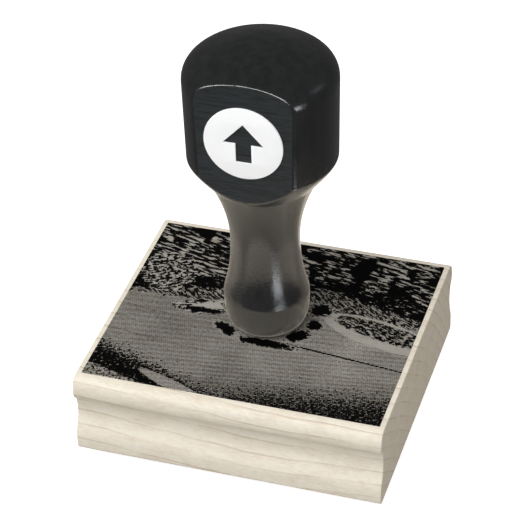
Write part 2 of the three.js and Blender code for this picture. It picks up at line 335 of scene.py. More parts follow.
# Stretches that each start where the one before ends, as one line.
def chain(*stretches):
    return np.concatenate([stretches[0]] + [stretch[1:] for stretch in stretches[1:]])


# Wood block

block = {
    "topBeadRun": 3.2, "topBeadDrop": 3.6, "quirkDrop": 6.1, "quirkDepth": 0.9,
    "coveDepth": 2.1, "coveLow": 0.36, "footBeadHeight": 3.6, "footRound": 1.1,
    "arris": 0.35, "arrisSteps": 4,          # the sanded round along each sawn end
    "stations": 40, "curveSteps": 12,
    "hole": 2.9, "holeDepth": 16.0, "holeSides": 48,
    "drillOver": 1.0,                        # how far the drill stands out above the top
    "sharpFrom": 38,                         # degrees
}


# One moulded edge, upwards: depth in from the bead's face, and height above the block's underside.
# The shares and small steps in it shape the curves between the named points.
def mouldedEdge(height):
    b, n = block, block["curveSteps"]
    quirk, beadFace, foot = height - b["quirkDrop"], height - b["topBeadDrop"], b["footBeadHeight"]
    cove = quirk - (quirk - foot) * b["coveLow"]
    deep, nick, heel = b["coveDepth"], b["quirkDepth"], b["footRound"]
    return chain(
        bezier((heel, 0), (heel * 0.33, 0), (0, heel * 0.33), (0, heel), n // 2),
        bezier((0, heel), (0, heel), (0, foot), (0, foot), 2),
        bezier((0, foot), (0, foot + (cove - foot) * 0.3), (deep, cove - (cove - foot) * 0.4),
               (deep, cove), n),
        bezier((deep, cove), (deep, cove + (quirk - cove) * 0.55), (nick + 0.7, quirk - 0.45),
               (nick, quirk), n),
        bezier((nick, quirk), (nick / 3, quirk + 0.35), (0, (quirk + beadFace) / 2),
               (0, beadFace), n),
        bezier((0, beadFace), (b["topBeadRun"] * 0.03, height - b["topBeadDrop"] / 3),
               (b["topBeadRun"] * 0.36, height), (b["topBeadRun"], height), n),
    )


# A counterclockwise section, drawn in all round.
def drawnIn(section, amount):
    along = np.roll(section, -1, axis=0) - np.roll(section, 1, axis=0)
    normal = np.stack([along[:, 1], -along[:, 0]], axis=1)
    normal /= np.linalg.norm(normal, axis=1)[:, None] + 1e-12
    return section - normal * amount


def woodBlock():
    low, high = boxInMm("mount_block")
    half = (high[1] - low[1]) / 2
    front = mouldedEdge(high[2] - low[2]) - (half, 0)
    back = (front * (-1, 1))[::-1]
    section = np.concatenate([front, back])[::-1]            # counterclockwise seen from +X
    arris, count = block["arris"], block["arrisSteps"]
    end = []                                 # x, and how far the section is drawn in there
    for i in range(count, -1, -1):
        turn = math.pi / 2 * i / count
        end.append((low[0] + arris * (1 - math.sin(turn)), arris * (1 - math.cos(turn))))
    middle = np.linspace(low[0] + arris, high[0] - arris, block["stations"])[1:-1]
    rings = end + [(x, 0.0) for x in middle]
    rings += [(low[0] + high[0] - x, shrink) for x, shrink in reversed(end)]
    points = []
    for x, shrink in rings:
        points += [(x * mm, y * mm, (z + low[2]) * mm) for y, z in drawnIn(section, shrink)]
    columns = len(section)
    faces = ringFaces(len(rings), columns)
    faces.append(tuple(range(columns)))
    faces.append(tuple(range(len(points) - columns, len(points)))[::-1])
    mesh = meshFrom("woodBlock", points, faces)
    outward(mesh)
    piece = link("woodBlock", mesh, mapleWood())

    sides = block["holeSides"]
    drill = []
    for z in (high[2] - block["holeDepth"], high[2] + block["drillOver"]):
        drill += ringAt(z, block["hole"], turnsRound(sides))
    lids = [tuple(range(sides))[::-1], tuple(range(sides, 2 * sides))]
    cutAway(piece, meshFrom("drill", drill, ringFaces(2, sides) + lids))
    sharpenPast(piece, block["sharpFrom"])
    return piece


def cutAway(piece, toolMesh):
    outward(toolMesh)
    tool = bpy.data.objects.new("tool", toolMesh)
    scene.collection.objects.link(tool)
    cut = piece.modifiers.new("cut", "BOOLEAN")
    cut.object, cut.operation, cut.solver = tool, "DIFFERENCE", "EXACT"
    bpy.context.view_layer.update()
    evaluated = piece.evaluated_get(bpy.context.evaluated_depsgraph_get())
    mesh = bpy.data.meshes.new_from_object(evaluated)
    piece.modifiers.clear()
    piece.data = mesh
    bpy.data.objects.remove(tool)


def mapleWood():
    material, tree, shader = newMaterial("mapleWood")
    facing = addNode(tree, "ShaderNodeTexCoord").outputs["Normal"]
    side = addNode(tree, "ShaderNodeSeparateXYZ", {0: facing}).outputs["X"]
    end = step(tree, calc(tree, "ABSOLUTE", side), 0.5, 0.85)
    wood = useGroup(tree, mapleGrain, {"Place": inMillimetres(tree), "End Grain": end})
    feed(tree, shader, Base_Color=wood["Color"], Roughness=0.58, Specular_IOR_Level=0.35,
         Normal=bump(tree, wood["Height"], 0.05 * mm, 0.5))
    return material


# Printed index film

film = {
    "holeSides": 64,
    "screenPitch": 0.5,                      # mm, of the line screen
    "screenTurn": 18.0,                      # degrees, from the block's front edge
    "lineSwing": 0.31, "dotSwing": 0.06, "wobble": 0.13,
    "fieldTone": 0.62, "pathTone": 0.9, "grassDark": 0.0, "grassLight": 0.72,
    "allInk": -0.2, "noInk": 1.2,            # tones past the screen's reach
    "ink": (0.0016, 0.0014, 0.0013, 1),
    "bareDim": (0.44, 0.455, 0.48, 1),       # the film's grey over bare wood
}

# The landscape, in millimetres from the block's centre. A line is two points, and an oval is a
# middle, its half sizes and a turn in degrees.
picture = {
    "treeLeft": ((-36, 3.6), (-14, 8.6)), "treeRight": ((5.5, 16.4), (38, 8.0)), "crownLift": 5.4,
    "grassTop": ((-36, 2.2), (36, 4.6)),
    "backBush": ((-29.5, 12.0), (7.0, 8.0), 20),
    "lowBush": ((-16.0, 0.6), (7.4, 3.0), 8),
    "lowBushShade": ((-16.5, -1.0), (5.6, 0.9), 4),
    "blossom": ((-14.5, 1.2), (3.0, 1.1), 8),
    "ringPath": ((28.5, 1.0), (15.6, 5.0), -13),
    "rightBushes": ((29.0, 1.9), (13.2, 3.1), -12),
    "rutTop": ((6, -7.9), (38, -11.35)), "rutFoot": ((6, -8.5), (38, -11.7)),
    "tufts": (((-8.6, -6.4), (3.2, 1.5), -30), ((2.4, -9.4), (6.6, 1.3), -2),
              ((9.0, -4.6), (3.0, 1.9), 34), ((11.8, 0.4), (1.7, 1.9), 30),
              ((11.6, 6.6), (2.6, 2.2), -20), ((-10.2, 2.4), (1.4, 2.2), 10)),
    "tuftSize": 1.35, "tuftRim": 1.25, "tuftCore": 0.95,
    "bank": ((-37, -18.0), (0, -32.0)),
    "roughGround": ((0, -27.0), (37, -20.5)),
    "frontPatch": ((-13.5, -30.8), (11.5, 1.7), -22),
    "leftCorner": ((-37, -27.0), (-14, -33.6)),
}


def indexFilm():
    low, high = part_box("index_print")
    sides, hole = film["holeSides"], block["hole"] * mm
    spokes = [Vector((math.cos(turn), math.sin(turn))) for turn in turnsRound(sides)]
    for side, end in ((1, 1), (-1, 1), (-1, -1), (1, -1)):
        corner = Vector((side * high.x, end * high.y)).normalized()
        nearest = max(range(sides), key=lambda i: spokes[i].dot(corner))
        spokes[nearest] = corner             # so that a spoke runs exactly into each corner
    rings = [[], [], [], []]
    for spoke in spokes:
        edge = min(high.x / max(abs(spoke.x), 1e-9), high.y / max(abs(spoke.y), 1e-9))
        path = ((hole, low.z), (edge, low.z), (edge, high.z), (hole, high.z))
        for ring, (length, z) in zip(rings, path):
            ring.append((spoke.x * length, spoke.y * length, z))
    bore = [(3 * sides + i, 3 * sides + (i + 1) % sides, (i + 1) % sides, i) for i in range(sides)]
    mesh = meshFrom("indexFilm", sum(rings, []), ringFaces(4, sides) + bore)
    outward(mesh)
    return link("indexFilm", mesh, printedFilm(), smooth=False)


# A ragged-edged region above the straight line through two points, in millimetres.
def above(tree, x, y, first, second, ragged, soft):
    slope = (second[1] - first[1]) / (second[0] - first[0])
    level = first[1] - slope * first[0]
    height = calc(tree, "ADD", calc(tree, "MULTIPLY_ADD", x, -slope, y), ragged)
    return step(tree, height, level - soft, level + soft)


# A ragged-edged oval, 1 inside.
def oval(tree, flatPlace, middle, size, turn, ragged, soft):
    local = spots(tree, flatPlace, (size[0], size[1], 1), (0, 0, math.radians(turn)), (*middle, 0))
    reach = vectorCalc(tree, "LENGTH", local, output="Value")
    return step(tree, calc(tree, "ADD", reach, ragged), 1 + soft, 1 - soft)


# Light strokes on dark, of a length, a width and a lean, and how much of the area they take.
def strokes(tree, place, length, width, lean, share, crisp=0.03, shift=0.0, curl=0.4):
    local = spots(tree, place, (length, width, 1), (0, 0, math.radians(lean)), (shift, shift, 0))
    value = noise(tree, local, detail=3, roughness=0.6, distortion=curl)
    spread = 0.33                            # how far the noise strays round a half
    edge = 0.5 + spread * (0.5 - share)
    return step(tree, value, edge - crisp, edge + crisp)


def printedFilm():
    material, tree, shader = newMaterial("printedFilm")
    place = inMillimetres(tree)
    flat = vectorCalc(tree, "MULTIPLY", place, (1, 1, 0))
    split = addNode(tree, "ShaderNodeSeparateXYZ", {0: place}).outputs
    x, y = split["X"], split["Y"]
    raggedBig = step(tree, noise(tree, flat, 0.22, detail=4, roughness=0.65), 0.2, 0.8, -1, 1)
    raggedFine = step(tree, noise(tree, flat, 1.1, detail=3, roughness=0.7), 0.2, 0.8, -1, 1)
    ragged = calc(tree, "MULTIPLY_ADD", raggedFine, 0.9, raggedBig)
    black, clear = film["allInk"], film["noInk"]
    dark, light, middling = film["grassDark"], film["grassLight"], film["fieldTone"]

    def rag(amount):
        return calc(tree, "MULTIPLY", ragged, amount)

    def both(first, second):
        return calc(tree, "MULTIPLY", first, second)

    def without(mask):
        return calc(tree, "SUBTRACT", 1.0, mask)

    def between(mask, low=black, high=clear):
        return step(tree, mask, 0, 1, low, high)

    def over(line, raggedBy, soft):
        return above(tree, x, y, *line, rag(raggedBy), soft)

    def patch(shape, raggedBy, soft=0.08):
        return oval(tree, flat, *shape, rag(raggedBy), soft)

    # Open field, a little lighter towards the right.
    tone = calc(tree, "MULTIPLY_ADD", noise(tree, flat, 0.06, detail=3), 0.6, 0.25)
    tone = calc(tree, "MULTIPLY_ADD", x, 0.0008, tone)

    def paint(mask, value):
        nonlocal tone
        tone = blendValues(tree, mask, tone, value)

    # Woods behind a treeline that climbs towards the handle from both sides.
    def beyond(lift, raggedBy):
        lines = [[(across, deep + lift) for across, deep in picture[side]]
                 for side in ("treeLeft", "treeRight")]
        return calc(tree, "MAXIMUM", *(over(line, raggedBy, 0.4) for line in lines))

    # Leaning grass below the trees, then the trees: black, broken by leaning strokes of leaves.
    grass = strokes(tree, flat, 1.7, 0.55, -34, 0.42, 0.08, 11)
    paint(over(picture["grassTop"], 1.0, 0.6), between(grass, dark, light))
    clumps = step(tree, noise(tree, flat, 0.14, detail=2), 0.36, 0.52)
    leaves = strokes(tree, flat, 3.8, 0.8, -14, 0.36, curl=0.25)
    paint(beyond(0.0, 0.7), between(strokes(tree, flat, 2.6, 0.6, -10, 0.07)))
    paint(beyond(picture["crownLift"], 2.0), between(both(leaves, clumps)))

    # A round bush at the back left, of curled strokes.
    curls = strokes(tree, flat, 1.25, 0.8, 24, 0.42, 0.04, 23)
    paint(patch(picture["backBush"], 0.12), between(curls))

    # A low bush with blossom, left of the handle.
    dabs = strokes(tree, flat, 2.0, 0.9, 14, 0.52, 0.04, 37)
    paint(patch(picture["lowBush"], 0.26), between(dabs))
    paint(patch(picture["lowBushShade"], 0.4), black)
    paint(patch(picture["blossom"], 0.3), clear)

    # Bushes at the right, ringed by a light path.
    paint(patch(picture["ringPath"], 0.02, 0.03), film["pathTone"])
    low = strokes(tree, flat, 1.3, 0.7, -24, 0.42, 0.05, 67)
    paint(patch(picture["rightBushes"], 0.10), between(low, black, light))

    # A wheel rut: a thin dark line from the handle to the right edge.
    rut = both(over(picture["rutFoot"], 0.1, 0.1), without(over(picture["rutTop"], 0.1, 0.1)))
    paint(both(rut, step(tree, x, 5, 8)), black)

    # Dark tufts round the foot of the handle, each with a light rim.
    jagged = calc(tree, "MULTIPLY", strokes(tree, flat, 1.6, 0.8, -30, 0.5, 0.2, 81), 0.4)
    jagged = calc(tree, "ADD", rag(0.2), jagged)
    for grow, value in ((picture["tuftRim"], light), (picture["tuftCore"], black)):
        for middle, size, turn in picture["tufts"]:
            wide = [picture["tuftSize"] * grow * width for width in size]
            paint(oval(tree, flat, middle, wide, turn, jagged, 0.08), value)

    # Rough ground along the front: speckle that thickens into a dark bank at the left edge.
    grit = noise(tree, spots(tree, flat, (0.75, 0.6, 1), (0, 0, 0.4), (9, 9, 0)), detail=2,
                 roughness=0.7)

    def speckled(depth):
        return step(tree, calc(tree, "MULTIPLY_ADD", depth, 0.34, grit), 0.68, 0.74)

    paint(speckled(without(over(picture["bank"], 1.0, 5.5))), black)
    rough = both(without(over(picture["roughGround"], 1.0, 9.0)), step(tree, x, -20, 2))
    paint(calc(tree, "MULTIPLY", rough, 0.55), dark)
    paint(speckled(calc(tree, "MULTIPLY", rough, 0.75)), black)
    paint(patch(picture["frontPatch"], 0.06), middling)
    paint(without(over(picture["leftCorner"], 0.4, 0.5)), between(speckled(0.55), light, black))

    # The screen: where it is darker than the tone, there is ink.
    pitch, turn = film["screenPitch"], math.radians(film["screenTurn"])
    turned = spots(tree, flat, (pitch, pitch, 1), (0, 0, turn))
    screen = addNode(tree, "ShaderNodeSeparateXYZ", {0: turned}).outputs
    wave = 0.5
    for axis, swing in (("Y", "lineSwing"), ("X", "dotSwing")):
        swung = calc(tree, "SINE", calc(tree, "MULTIPLY", screen[axis], 2 * math.pi))
        wave = calc(tree, "MULTIPLY_ADD", swung, film[swing], wave)
    wobble = step(tree, noise(tree, flat, 1.5, detail=2), 0.25, 0.75, -1, 1)
    wave = calc(tree, "MULTIPLY_ADD", wobble, film["wobble"], wave)
    bare = step(tree, calc(tree, "SUBTRACT", tone, wave), -0.16, 0.16)
    wood = useGroup(tree, mapleGrain, {"Place": place})
    dimmed = blendColors(tree, 1.0, wood["Color"], film["bareDim"], "MULTIPLY")
    speck = useGroup(tree, fineSpeckle, {"Place": place, "Cloud Size": 12.0, "Grit Size": 0.2})
    feed(tree, shader, Base_Color=blendColors(tree, bare, film["ink"], dimmed),
         Roughness=step(tree, speck["Grit"], 0.3, 0.7, 0.42, 0.56), Specular_IOR_Level=0.06,
         Normal=bump(tree, speck["Grit"], 0.01 * mm, 0.25))
    return material


# Rubber die

die = {
    "cell": 0.25,                            # mm between points of the relief
    "draft": 0.28,                           # how far a land's side leans out
    "relief": 1.1,
    "toolMark": 0.05, "toolTurn": 9.0,       # the moulding tool's marks on the floor
    "sharpFrom": 60,                         # degrees
    "hills": ((0.62, 0.07, 1.1), (0.44, 0.09, 2.6)),     # height, swell and shift of each
    "frameInset": 0.8, "frameWidth": 1.4, "pictureGap": 1.6, "lineWidth": 1.0,
    "furrows": 6, "trees": 7, "treeRadius": 2.4,
}


# Signed distance to the lands, in millimetres: below 0 is land, which prints.
def landDistance(x, y, halfX, halfY):
    d = die
    line = d["lineWidth"] / 2
    outer = np.maximum(abs(x) - (halfX - d["frameInset"]), abs(y) - (halfY - d["frameInset"]))
    frameLine = np.maximum(outer, -(outer + d["frameWidth"]))
    wide = halfX - d["frameInset"] - d["frameWidth"] - d["pictureGap"]
    deep = halfY - d["frameInset"] - d["frameWidth"] - d["pictureGap"]
    lands = [frameLine]
    for height, swell, shift in d["hills"]:
        ridge = deep * (height + swell * np.sin(3.2 * x / wide + shift))
        lands.append(np.maximum(abs(y - ridge) - line, abs(x) - wide))
    for i in range(d["furrows"]):
        share = i / (d["furrows"] - 1)
        level = -deep + line + deep * 0.95 * share + 0.05 * (x + wide)
        reach = wide * (0.45 + 0.35 * share)
        lands.append(np.maximum(abs(y - level) - line, np.maximum(-wide - x, x - (wide - reach))))
    for i in range(d["trees"]):
        share = i / (d["trees"] - 1)
        radius = d["treeRadius"] * (0.75 + 0.25 * math.cos(5 * i))
        treeX = (wide - d["treeRadius"]) * (2 * share - 1)
        treeY = deep * 0.9 - radius + 0.8
        away = np.hypot(x - treeX, y - treeY)
        leaf = 0.16 * np.cos(9 * np.arctan2(y - treeY, x - treeX) + i)
        vein = abs(away - radius * 0.5) - 0.22                  # a cut line inside the crown
        lands.append(np.maximum(away - radius + 0.16 + leaf, -vein))
    return np.minimum.reduce(lands)


def rubberDie():
    low, high = boxInMm("rubber_die")
    across = int(round((high[0] - low[0]) / die["cell"])) + 1
    deep = int(round((high[1] - low[1]) / die["cell"])) + 1
    x, y = np.meshgrid(np.linspace(low[0], high[0], across), np.linspace(low[1], high[1], deep))
    away = landDistance(x, y, high[0], high[1])
    rise = np.clip((away + die["draft"]) / die["draft"], 0, 1)
    rise = rise * rise * (3 - 2 * rise)
    marks = die["toolMark"] * np.sin(x * die["toolTurn"]) * np.clip(away - 0.4, 0, 1)
    z = low[2] + die["relief"] * rise + marks
    bottom = np.stack([x, y, z], axis=2).reshape(-1, 3)
    rim = [(0, i) for i in range(across - 1)]
    rim += [(j, across - 1) for j in range(deep - 1)]
    rim += [(deep - 1, i) for i in range(across - 1, 0, -1)]
    rim += [(j, 0) for j in range(deep - 1, 0, -1)]
    rimPoints = [j * across + i for j, i in rim]
    lid = [(bottom[k][0], bottom[k][1], high[2]) for k in rimPoints]
    points = np.concatenate([bottom, np.array(lid)]) * mm
    faces = [(j * across + i, (j + 1) * across + i, (j + 1) * across + i + 1, j * across + i + 1)
             for j in range(deep - 1) for i in range(across - 1)]
    first, count = len(bottom), len(rimPoints)
    for k in range(count):
        after = (k + 1) % count
        faces.append((rimPoints[k], rimPoints[after], first + after, first + k))
    faces.append(tuple(range(first, first + count)))
    mesh = meshFrom("rubberDie", points, faces)
    outward(mesh)
    piece = link("rubberDie", mesh, redRubber())
    sharpenPast(piece, die["sharpFrom"])
    return piece


def redRubber():
    material, tree, shader = newMaterial("redRubber")
    speck = useGroup(tree, fineSpeckle, {"Place": inMillimetres(tree), "Cloud Size": 9.0,
                                         "Grit Size": 0.18, "Flecks": 0.3})
    color = blendColors(tree, speck["Cloud"], (0.40, 0.088, 0.05, 1), (0.46, 0.115, 0.068, 1))
    dust = calc(tree, "MULTIPLY", speck["Fleck"], 0.35)
    color = blendColors(tree, dust, color, (0.62, 0.30, 0.22, 1))
    feed(tree, shader, Base_Color=color, Specular_IOR_Level=0.4,
         Roughness=step(tree, speck["Grit"], 0.3, 0.7, 0.56, 0.74),
         Normal=bump(tree, speck["Grit"], 0.03 * mm, 0.5))
    return material


# Foam cushion

foam = {
    "bulge": 0.3, "edgeRings": 9,
    "corner": 1.2, "cornerSteps": 8, "sideCell": 0.8,
    "longRipple": 0.05, "shortRipple": 0.04,     # mm, small waves that the knife leaves
    "sharpFrom": 55,                         # degrees
}


# A round-cornered outline, counterclockwise, with points close enough to carry a ripple.
def roundOutline(halfX, halfY, corner, steps, cell):
    points = []
    for quarter, (sx, sy) in enumerate(((1, 1), (-1, 1), (-1, -1), (1, -1))):
        for i in range(steps + 1):
            turn = math.pi / 2 * (quarter + i / steps)
            points.append((sx * (halfX - corner) + corner * math.cos(turn),
                           sy * (halfY - corner) + corner * math.sin(turn)))
    filled = []
    for here, there in zip(points, points[1:] + points[:1]):
        count = max(1, int(math.dist(here, there) / cell))
        for i in range(count):
            filled.append(tuple(a + (b - a) * i / count for a, b in zip(here, there)))
    return np.array(filled)


def foamCushion():
    low, high = boxInMm("cushion")
    outline = roundOutline(high[0], high[1], foam["corner"], foam["cornerSteps"], foam["sideCell"])
    count, rings = len(outline), foam["edgeRings"]
    reach = np.linalg.norm(outline, axis=1)[:, None]
    direction = outline / reach
    ripple = foam["longRipple"] * np.sin(reach[:, 0] * 2.3)
    ripple += foam["shortRipple"] * np.sin(outline[:, 0] * 1.7 + outline[:, 1] * 2.1)
    points = []
    for ring in range(rings):
        share = ring / (rings - 1)
        swell = foam["bulge"] * (1 - (2 * share - 1) ** 2) + ripple * math.sin(math.pi * share)
        z = low[2] + (high[2] - low[2]) * share
        points += [(px * mm, py * mm, z * mm) for px, py in outline + direction * swell[:, None]]
    faces = ringFaces(rings, count)
    faces.append(tuple(range(count))[::-1])
    faces.append(tuple(range(len(points) - count, len(points))))
    mesh = meshFrom("foamCushion", points, faces)
    outward(mesh)
    piece = link("foamCushion", mesh, greyFoam())
    sharpenPast(piece, foam["sharpFrom"])
    return piece


def greyFoam():
    material, tree, shader = newMaterial("greyFoam")
    place = inMillimetres(tree)
    cells = addNode(tree, "ShaderNodeTexVoronoi", {"Vector": place, "Scale": 4.5})
    wall = step(tree, cells.outputs["Distance"], 0.15, 0.6)
    speck = useGroup(tree, fineSpeckle, {"Place": place, "Cloud Size": 6.0, "Grit Size": 0.15})
    color = blendColors(tree, wall, (0.06, 0.062, 0.066, 1), (0.14, 0.145, 0.155, 1))
    haze = calc(tree, "MULTIPLY", speck["Cloud"], 0.25)
    color = blendColors(tree, haze, color, (0.2, 0.2, 0.21, 1))
    feed(tree, shader, Base_Color=color, Specular_IOR_Level=0.2,
         Roughness=step(tree, speck["Grit"], 0.3, 0.7, 0.86, 0.98),
         Normal=bump(tree, wall, 0.08 * mm, 0.8))
    return material


# Adhesive films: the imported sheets, with a film's finish

def clearFilm():
    material, tree, shader = newMaterial("clearFilm")
    speck = useGroup(tree, fineSpeckle, {"Place": inMillimetres(tree), "Cloud Size": 14.0,
                                         "Grit Size": 0.4, "Flecks": 0.12})
    color = blendColors(tree, speck["Cloud"], (0.62, 0.60, 0.53, 1), (0.70, 0.68, 0.61, 1))
    dust = calc(tree, "MULTIPLY", speck["Fleck"], 0.3)
    color = blendColors(tree, dust, color, (0.4, 0.38, 0.33, 1))
    feed(tree, shader, Base_Color=color, Specular_IOR_Level=0.5,
         Roughness=step(tree, speck["Grit"], 0.3, 0.7, 0.26, 0.40))
    return material


# Turned handle

knob = {
    "height": 78.5, "headRadius": 18.1, "headTaper": 0.3, "crownRise": 1.95,
    "shoulderReach": 7.2, "shoulderDrop": 6.95, "headHeight": 20.2, "throatDrop": 6.6,
    "throatRadius": 13.05, "throatSlope": 1.79, "neckRadius": 8.35, "neckHeight": 25.2,
    "footRadius": 10.45, "footHeight": 9.25, "seatRadius": 6.9,
    "seatSwell": (2.55, 1.5),                # how far out and up the foot starts from its seat
    "flat": 13.6, "flatSoft": 0.55,          # mm over which the flat's edge is rounded
    "paintEdge": 0.06,                       # share of that rounding that the flat's paint covers
    "bore": 4.4, "boreTop": 11.5, "boreMiddle": 6.0, "boreRound": 0.3, "boreChamfer": 0.25,
    "seatStep": (0.6, 0.2),                  # mm in from the seat's edge, two rings under the foot
    "axis": 0.05,                            # how near the middle a turned line ends
    "columns": 160, "flatColumns": 44, "curveSteps": 26,
    "leastHalf": 0.10,                       # radians, the least that the flat's columns take
    "settle": 3.5,                           # mm of radius over which they spread out again
    "crowdFlat": 0.65, "crowdRound": 0.45,   # how much the columns crowd the flat's edges
    "sharpFrom": 50,                         # degrees
}


# Radius and height above the seat, upwards from the seat's edge. The shares in it shape the curves
# between the named points.
def handleOutline():
    k, n = knob, knob["curveSteps"]
    seat, foot, neck = k["seatRadius"], k["footRadius"], k["neckRadius"]
    throat, head = k["throatRadius"], k["headRadius"]
    top, footHigh, neckHigh = k["height"], k["footHeight"], k["neckHeight"]
    headLow, crownEdge = head - k["headTaper"], head - k["shoulderReach"]
    crownBase = top - k["crownRise"]
    headTop = crownBase - k["shoulderDrop"]
    headBottom = headTop - k["headHeight"]
    throatHigh = headBottom - k["throatDrop"]
    crownSlope = 2 * k["crownRise"] / crownEdge
    lean, quarter = 0.3, 0.55                # the pulls at the throat and on the shoulder
    swell = (seat + k["seatSwell"][0], k["seatSwell"][1])
    return chain(
        bezier((seat, 0), swell, (foot, footHigh * 0.22), (foot, footHigh), n),
        bezier((foot, footHigh), (foot, footHigh + 2),
               (neck, neckHigh - (neckHigh - footHigh) * 0.67), (neck, neckHigh), n),
        bezier((neck, neckHigh), (neck, neckHigh + (throatHigh - neckHigh) * 0.52),
               (throat - lean, throatHigh - lean * k["throatSlope"]), (throat, throatHigh), n),
        bezier((throat, throatHigh), (throat + lean, throatHigh + lean * k["throatSlope"]),
               (headLow, headBottom - 0.8), (headLow, headBottom), n),
        bezier((headLow, headBottom), (headLow, headBottom), (head, headTop), (head, headTop),
               n // 2),
        bezier((head, headTop), (head, headTop + k["shoulderDrop"] * quarter),
               (crownEdge + k["shoulderReach"] * quarter,
                crownBase - crownSlope * k["shoulderReach"] * quarter), (crownEdge, crownBase), n),
        bezier((crownEdge, crownBase), (crownEdge * 0.6, crownBase + crownSlope * crownEdge * 0.4),
               (crownEdge * 0.5, top), (k["axis"], top), n),
    )


# Angles from the front for one ring: the middle columns keep to the flat, and crowd its edges.
def ringAngles(radius):
    k = knob
    inner, outer = k["flatColumns"], k["columns"] - k["flatColumns"]
    even = math.pi * inner / k["columns"]
    reach = math.acos(min(1.0, k["flat"] / radius))
    relax = min(1.0, max(0.0, (k["flat"] - radius) / k["settle"]))
    half = max(reach, k["leastHalf"] + (even - k["leastHalf"]) * relax)

    def crowded(count, share):
        u = np.arange(count) / count
        return (1 - share) * u + share * (1 - np.cos(math.pi * u)) / 2

    front = -half + 2 * half * crowded(inner, k["crowdFlat"])
    return np.concatenate([front, half + 2 * (math.pi - half) * crowded(outer, k["crowdRound"])])


# The lesser of two depths with a round changeover.
def softLeast(depth, limit, soft):
    overlap = np.clip(soft - abs(depth - limit), 0, None) / soft
    return np.minimum(depth, limit) - overlap * overlap * soft / 4


def knobHandle():
    low = boxInMm("handle")[0]
    k, columns = knob, knob["columns"]
    bore, boreTop, roundBy, seat = k["bore"], k["boreTop"], k["boreRound"], k["seatRadius"]
    under = [(k["axis"], boreTop), (bore - roundBy, boreTop), (bore, boreTop - roundBy),
             (bore, k["boreMiddle"]), (bore, k["boreChamfer"]), (bore + k["boreChamfer"], 0)]
    under += [(seat - back, 0) for back in k["seatStep"]]
    profile = np.concatenate([under, handleOutline()])
    points = []
    for radius, height in profile:
        angles = ringAngles(radius)
        x, depth = radius * np.sin(angles), radius * np.cos(angles)
        if height > k["neckHeight"]:
            depth = softLeast(depth, k["flat"], k["flatSoft"])
        points += [(px * mm, -py * mm, (low[2] + height) * mm) for px, py in zip(x, depth)]
    faces = ringFaces(len(profile), columns)
    faces.append(tuple(range(columns)))
    faces.append(tuple(range(len(points) - columns, len(points))))
    mesh = meshFrom("knobHandle", points, faces)
    outward(mesh)
    piece = link("knobHandle", mesh, blackLacquer())
    mesh.materials.append(sandedFlat())
    edgeDepth = k["flat"] - k["paintEdge"] * k["flatSoft"]   # past it, the edge is still lacquer
    for face in mesh.polygons:
        face.material_index = int(face.center.y < -edgeDepth * mm)
    sharpenPast(piece, k["sharpFrom"])
    return piece


# Glossy lacquer over the turned wood, with a little of the turning and of orange peel in it.
def blackLacquer():
    material, tree, shader = newMaterial("blackLacquer")
    place = inMillimetres(tree)
    figure = noise(tree, spots(tree, place, (2.2, 2.2, 22)), detail=3, roughness=0.6)
    color = blendColors(tree, step(tree, figure, 0.3, 0.7), (0.0075, 0.008, 0.008, 1),
                        (0.0125, 0.0132, 0.013, 1))
    speck = useGroup(tree, fineSpeckle, {"Place": place, "Cloud Size": 10.0, "Grit Size": 0.5})
    turned = noise(tree, spots(tree, place, (0.5, 0.5, 5)), detail=3, roughness=0.7)
    orangePeel = noise(tree, spots(tree, place, (0.8, 0.8, 0.5)), detail=2, roughness=0.6)
    feed(tree, shader, Base_Color=color, Specular_IOR_Level=1.0,
         Roughness=step(tree, speck["Cloud"], 0.0, 1.0, 0.12, 0.19),
         Normal=bump(tree, calc(tree, "MULTIPLY_ADD", orangePeel, 0.9, turned), 0.08 * mm, 0.5))
    return material


# The flat is sanded and painted, so it is duller and shows open grain that runs across it.
def sandedFlat():
    material, tree, shader = newMaterial("sandedFlat")
    place = inMillimetres(tree)
    grain = noise(tree, spots(tree, place, (5.5, 1.2, 0.28)), detail=4, roughness=0.65,
                  distortion=0.4)
    pores = step(tree, noise(tree, spots(tree, place, (1.8, 0.5, 0.16)), detail=2), 0.60, 0.70)
    color = blendColors(tree, step(tree, grain, 0.46, 0.62), (0.019, 0.0245, 0.028, 1),
                        (0.0075, 0.0098, 0.0112, 1))
    color = blendColors(tree, calc(tree, "MULTIPLY", pores, 0.7), color, (0.003, 0.0035, 0.004, 1))
    feed(tree, shader, Base_Color=color, Roughness=0.42, Specular_IOR_Level=0.35,
         Normal=bump(tree, grain, 0.08 * mm, 0.5))
    return material


# Badge: a white disc with an upward arrow cut through it

badge = {"bevel": 0.07, "sides": 96, "arrowHeight": 1.08, "arrowWidth": 1.04,
         "arrowHead": 0.56, "arrowStem": 0.4}


